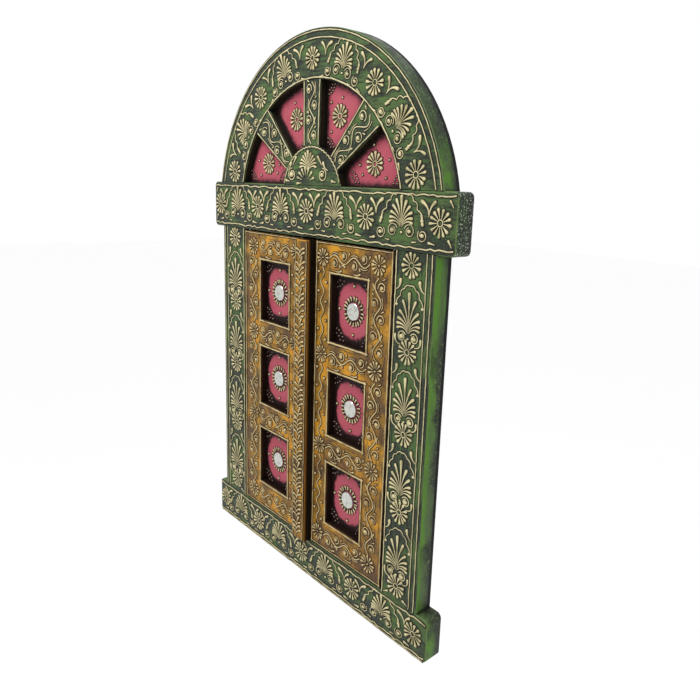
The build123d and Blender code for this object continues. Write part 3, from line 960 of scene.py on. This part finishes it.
# fan panes
# Places in the panes right of the centre rib, from the middle of the lintel's top; the left ones mirror them.
PANE_DAISIES = ((27.5, 51.5), (68.0, 16.8))
PANE_DOTS = ((30, 64.5), (17.5, 40.5), (17, 62), (55, 9), (80, 7), (83, 19.5), (66.5, 30), (52, 16))
PANE_CORNERS = (  # corner, which way its dots spread, and how far
    ((12.5, 28), (1, 1), 8),
    ((13, 76), (1, -1), 8),
    ((42, 2), (1, 1), 9),
    ((97, 2), (-1, 1), 9),
)
pane_work = StrokeMesh()
for s in (-1, 1):
    for u, v in PANE_DAISIES:
        pane_work.add(daisy((s * u, arch_base + v), 9.0), sunk_y)
    for u, v in PANE_DOTS:
        pane_work.add([dot((s * u, arch_base + v), 0.9)], sunk_y)
    for (u, v), (way_u, way_v), reach in PANE_CORNERS:
        dots = corner_dots((s * u, arch_base + v), s * way_u, way_v, reach)
        pane_work.add(dots, sunk_y, paste=2)
pane_work.build("fan_panel_ornament", "frame", PANE_ORNAMENT)

# ------------------------------------------------------------------ ornament on the leaves
LEAF_LINE_INSET = 1.1
OPENING_LINE_INSET = 0.95
OPENING_LINE_END = 1.8  # where the lines round an opening pass its corners
OUTER_SHIFT = 1.7  # keeps the outer stile's paste clear of the post when the leaf is open
INNER_SHIFT = 0.6
MIRROR_PETALS = 20
for side, s in (("left", -1), ("right", 1)):
    body = f"{side}_leaf"
    stile_low, stile_high = box_mm(f"{side}_outer_stile")
    outer = stile_high[0] if s > 0 else -stile_low[0]
    opening_outer = stile_low[0] if s > 0 else -stile_high[0]
    rail_low, rail_high = box_mm(f"{side}_top_rail")
    opening_inner = rail_low[0] if s > 0 else -rail_high[0]
    top, bottom = stile_high[2], stile_low[2]
    rails = [box_mm(f"{side}_{name}") for name in RAIL_NAMES]
    heights = [(low[2], high[2]) for low, high in rails]
    centres = [(a + b) / 2 for a, b in heights]
    meeting = box_mm("right_meeting_stile")[0][0]
    openings = [(lower_high, upper_low) for (upper_low, _), (_, lower_high) in zip(heights, heights[1:])]
    stile_x = (outer + opening_outer) / 2 - OUTER_SHIFT
    inner_x = (meeting + opening_inner) / 2 - INNER_SHIFT
    strokes = []
    # lines round the leaf and round each opening
    for x in (outer - LEAF_LINE_INSET, meeting + LEAF_LINE_INSET):
        strokes.append(straight((x, top - 0.6), (x, bottom + 0.6), wobble=0.15, radius=0.68))
    for z in (top - LEAF_LINE_INSET, bottom + LEAF_LINE_INSET):
        strokes.append(straight((meeting, z), (outer - 0.6, z), wobble=0.2, radius=0.45))
    for sill, head in openings:
        high_end, low_end = head + OPENING_LINE_END, sill - OPENING_LINE_END
        for x in (opening_outer + OPENING_LINE_INSET, opening_inner - OPENING_LINE_INSET):
            strokes.append(straight((x, high_end), (x, low_end), wobble=0.12, radius=0.85))
        near_end, far_end = opening_inner - OPENING_LINE_END, opening_outer + OPENING_LINE_END
        for z in (head + OPENING_LINE_INSET, sill - OPENING_LINE_INSET):
            strokes.append(straight((near_end, z), (far_end, z), wobble=0.12, radius=0.85))
    # daisies where stiles and rails cross, vines on the stiles between them
    for z in centres:
        strokes += daisy((stile_x, z + uneven(0.8)), 7.9, petals=12, fat=1.3, ring=False)
        strokes += daisy((inner_x, z + uneven(0.8)), 7.3, petals=12, fat=1.15, ring=False)
    for z_high, z_low in zip(centres, centres[1:]):
        vine = curling_vine(z_high - z_low - 17.5, swing=3.6, hearts=5, curl=4.1, thickness=0.56)
        strokes += shifted(vine, stile_x + 0.3, z_low + 8.8)
        strokes.append(wave((inner_x, z_high - 8), (inner_x, z_low + 8), 2.0, 15.5, radius=0.62))
        for k in range(8):
            z = z_high - 11.8 - 7.75 * k
            if z > z_low + 8:
                strokes.append(dot((inner_x + (4.7 if k % 2 else -4.7), z), 1.25))
    # scrolls and commas along the rails
    width = opening_outer - opening_inner
    for z in centres:
        vine = curling_vine(width + 3, swing=3.1, hearts=4, curl=3.7, thickness=0.55)
        strokes += shifted(vine, opening_inner - 1.5, z, turn=-90)
        for k in (0, 2):
            x = opening_inner + width * (k + 0.9) / 4
            strokes.append(drop((x - 4, z - 9.3), (x + 3, z - 8.6), fat=0.95, bend=-0.1))
    work = StrokeMesh()
    work.add(strokes if s > 0 else mirrored(strokes), front_y)
    work.build(f"{side}_leaf_ornament", body, OCHRE_ORNAMENT)

    # panes: petals round each mirror, dots towards the sides and in the corners
    pane_x = (opening_outer + opening_inner) / 2
    petal_from, petal_to = mirror_radius + 1.7, mirror_radius + 4.3
    panes, small_dots, rings = [], [], []
    for sill, head in openings:
        z = (head + sill) / 2
        for k in range(MIRROR_PETALS):
            angle = 2 * pi * (k + uneven(0.12)) / MIRROR_PETALS
            tail = around((pane_x, z), petal_from, angle)
            tip = around((pane_x, z), petal_to, angle)
            panes.append(drop(tail, tip, fat=0.95, thin=0.6, steps=2))
        ring = circle((pane_x, z), mirror_radius + 2.1, 24)
        rings.append((ring, [2.3] * len(ring)))
        for u, v in ((0, 20), (0, -18.5), (-16.8, 0), (16.8, 0)):
            panes.append(dot((pane_x + u, z + v), 1.15))
        for u, way_u in ((opening_inner, 1), (opening_outer, -1)):
            for v, way_v in ((sill, 1), (head, -1)):
                small_dots += corner_dots((u, v), way_u, way_v, reach=10.5)
    work = StrokeMesh()
    work.stain(rings if s > 0 else mirrored(rings), sunk_y)
    work.add(panes if s > 0 else mirrored(panes), sunk_y)
    work.add(small_dots if s > 0 else mirrored(small_dots), sunk_y, paste=2)
    work.build(f"{side}_pane_ornament", body, PANE_ORNAMENT)

# batten: slanting drops in two files, with a half flower now and then
batten = []
z = batten_low[2] + 4
count = 0
while z < batten_high[2] - 8:
    rightward = (4.4 + uneven(0.8), z + 5.2 + uneven(0.8))
    batten.append(drop((-2.2, z), rightward, fat=1.2 + uneven(0.2), bend=0.12))
    leftward = (-5.6, z + 4.4 + uneven(0.8))
    batten.append(drop((-0.8, z + 1.2), leftward, fat=1.05 + uneven(0.2), bend=-0.1))
    if count % 5 == 2:
        batten.append(drop((-1.5, z + 2.6), (1.6, z + 9), fat=1.45))
        batten.append(dot((-4.6, z - 1.2), 1.35))
        z += 3.4
    z += 4.3 + uneven(0.4)
    count += 1
for x in (-7.1, 7.1):
    batten.append(straight((x, batten_low[2] + 1), (x, batten_high[2] - 1), wobble=0.15, radius=0.4))
batten_work = StrokeMesh()
batten_work.add(batten, batten_low[1])
batten_work.build("centre_batten_ornament", "left_leaf", OCHRE_ORNAMENT)

# ------------------------------------------------------------------ stage, light and camera
FLOOR_DROP = 0.9  # the panel hangs on a wall, well above the floor
FLOOR_REACH = 12.0
floor_mesh = bpy.data.meshes.new("floor")
floor_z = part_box("base_rail")[0].z - FLOOR_DROP
corners = [(x * FLOOR_REACH, y * FLOOR_REACH, floor_z) for x, y in ((-1, -1), (1, -1), (1, 1), (-1, 1))]
floor_mesh.from_pydata(corners, [], [(0, 1, 2, 3)])
floor = bpy.data.objects.new("floor", floor_mesh)
bpy.context.scene.collection.objects.link(floor)
floor_paint = Paint("pale_floor", 0.9)
floor_paint.shader.inputs["Base Color"].default_value = (0.98, 0.98, 0.98, 1)
floor_mesh.materials.append(floor_paint.material)

world = bpy.data.worlds.new("studio")
world.use_nodes = True
world.node_tree.nodes["Background"].inputs["Color"].default_value = (1, 1, 1, 1)
world.node_tree.nodes["Background"].inputs["Strength"].default_value = 1.0
bpy.context.scene.world = world
bpy.context.scene.view_settings.view_transform = "Standard"


def soft_light(name, place, target, size, watts):
    """Round area light that looks at a target."""
    lamp = bpy.data.lights.new(name, "AREA")
    lamp.shape = "DISK"
    lamp.size = size
    lamp.energy = watts
    light = bpy.data.objects.new(name, lamp)
    light.location = place
    light.rotation_euler = (Vector(target) - Vector(place)).to_track_quat("-Z", "Y").to_euler()
    bpy.context.scene.collection.objects.link(light)


# key: large and high, in front; side: from the right, for the ends of lintel and base
soft_light("key", (-0.12, -0.42, 0.55), (0, 0, 0.1), 0.35, 4.0)
soft_light("side", (1.4, -0.5, 0.5), (0, 0, -0.08), 0.6, 2.5)

# camera: fitted to the view from the front right, a little above the middle
CAMERA_PLACE = (0.4114, -0.32355, 0.02216)
CAMERA_AZIMUTH = 46.956  # degrees, of the viewing direction, to the left of the wall's normal
CAMERA_DIP = 12.118
CAMERA_ROLL = -2.227
FOCAL = 0.90391  # in picture widths
CENTRE = (0.53657, 0.45986)  # where the optical axis meets the picture, in shares of its sides
az, dip, roll = radians(CAMERA_AZIMUTH), radians(CAMERA_DIP), radians(CAMERA_ROLL)
forward = Vector((-sin(az) * cos(dip), cos(az) * cos(dip), -sin(dip)))
level_right = forward.cross(Vector((0, 0, 1))).normalized()
level_down = forward.cross(level_right)
right = cos(roll) * level_right + sin(roll) * level_down
down = cos(roll) * level_down - sin(roll) * level_right
camera_data = bpy.data.cameras.new("camera")
camera_data.sensor_width = 36
camera_data.lens = FOCAL * camera_data.sensor_width
camera_data.shift_x = 0.5 - CENTRE[0]
camera_data.shift_y = CENTRE[1] - 0.5
camera_data.clip_start = 0.01
camera = bpy.data.objects.new("camera", camera_data)
camera.matrix_world = Matrix(
    (
        (right.x, -down.x, -forward.x, CAMERA_PLACE[0]),
        (right.y, -down.y, -forward.y, CAMERA_PLACE[1]),
        (right.z, -down.z, -forward.z, CAMERA_PLACE[2]),
        (0, 0, 0, 1),
    )
)
bpy.context.scene.collection.objects.link(camera)
bpy.context.scene.camera = camera
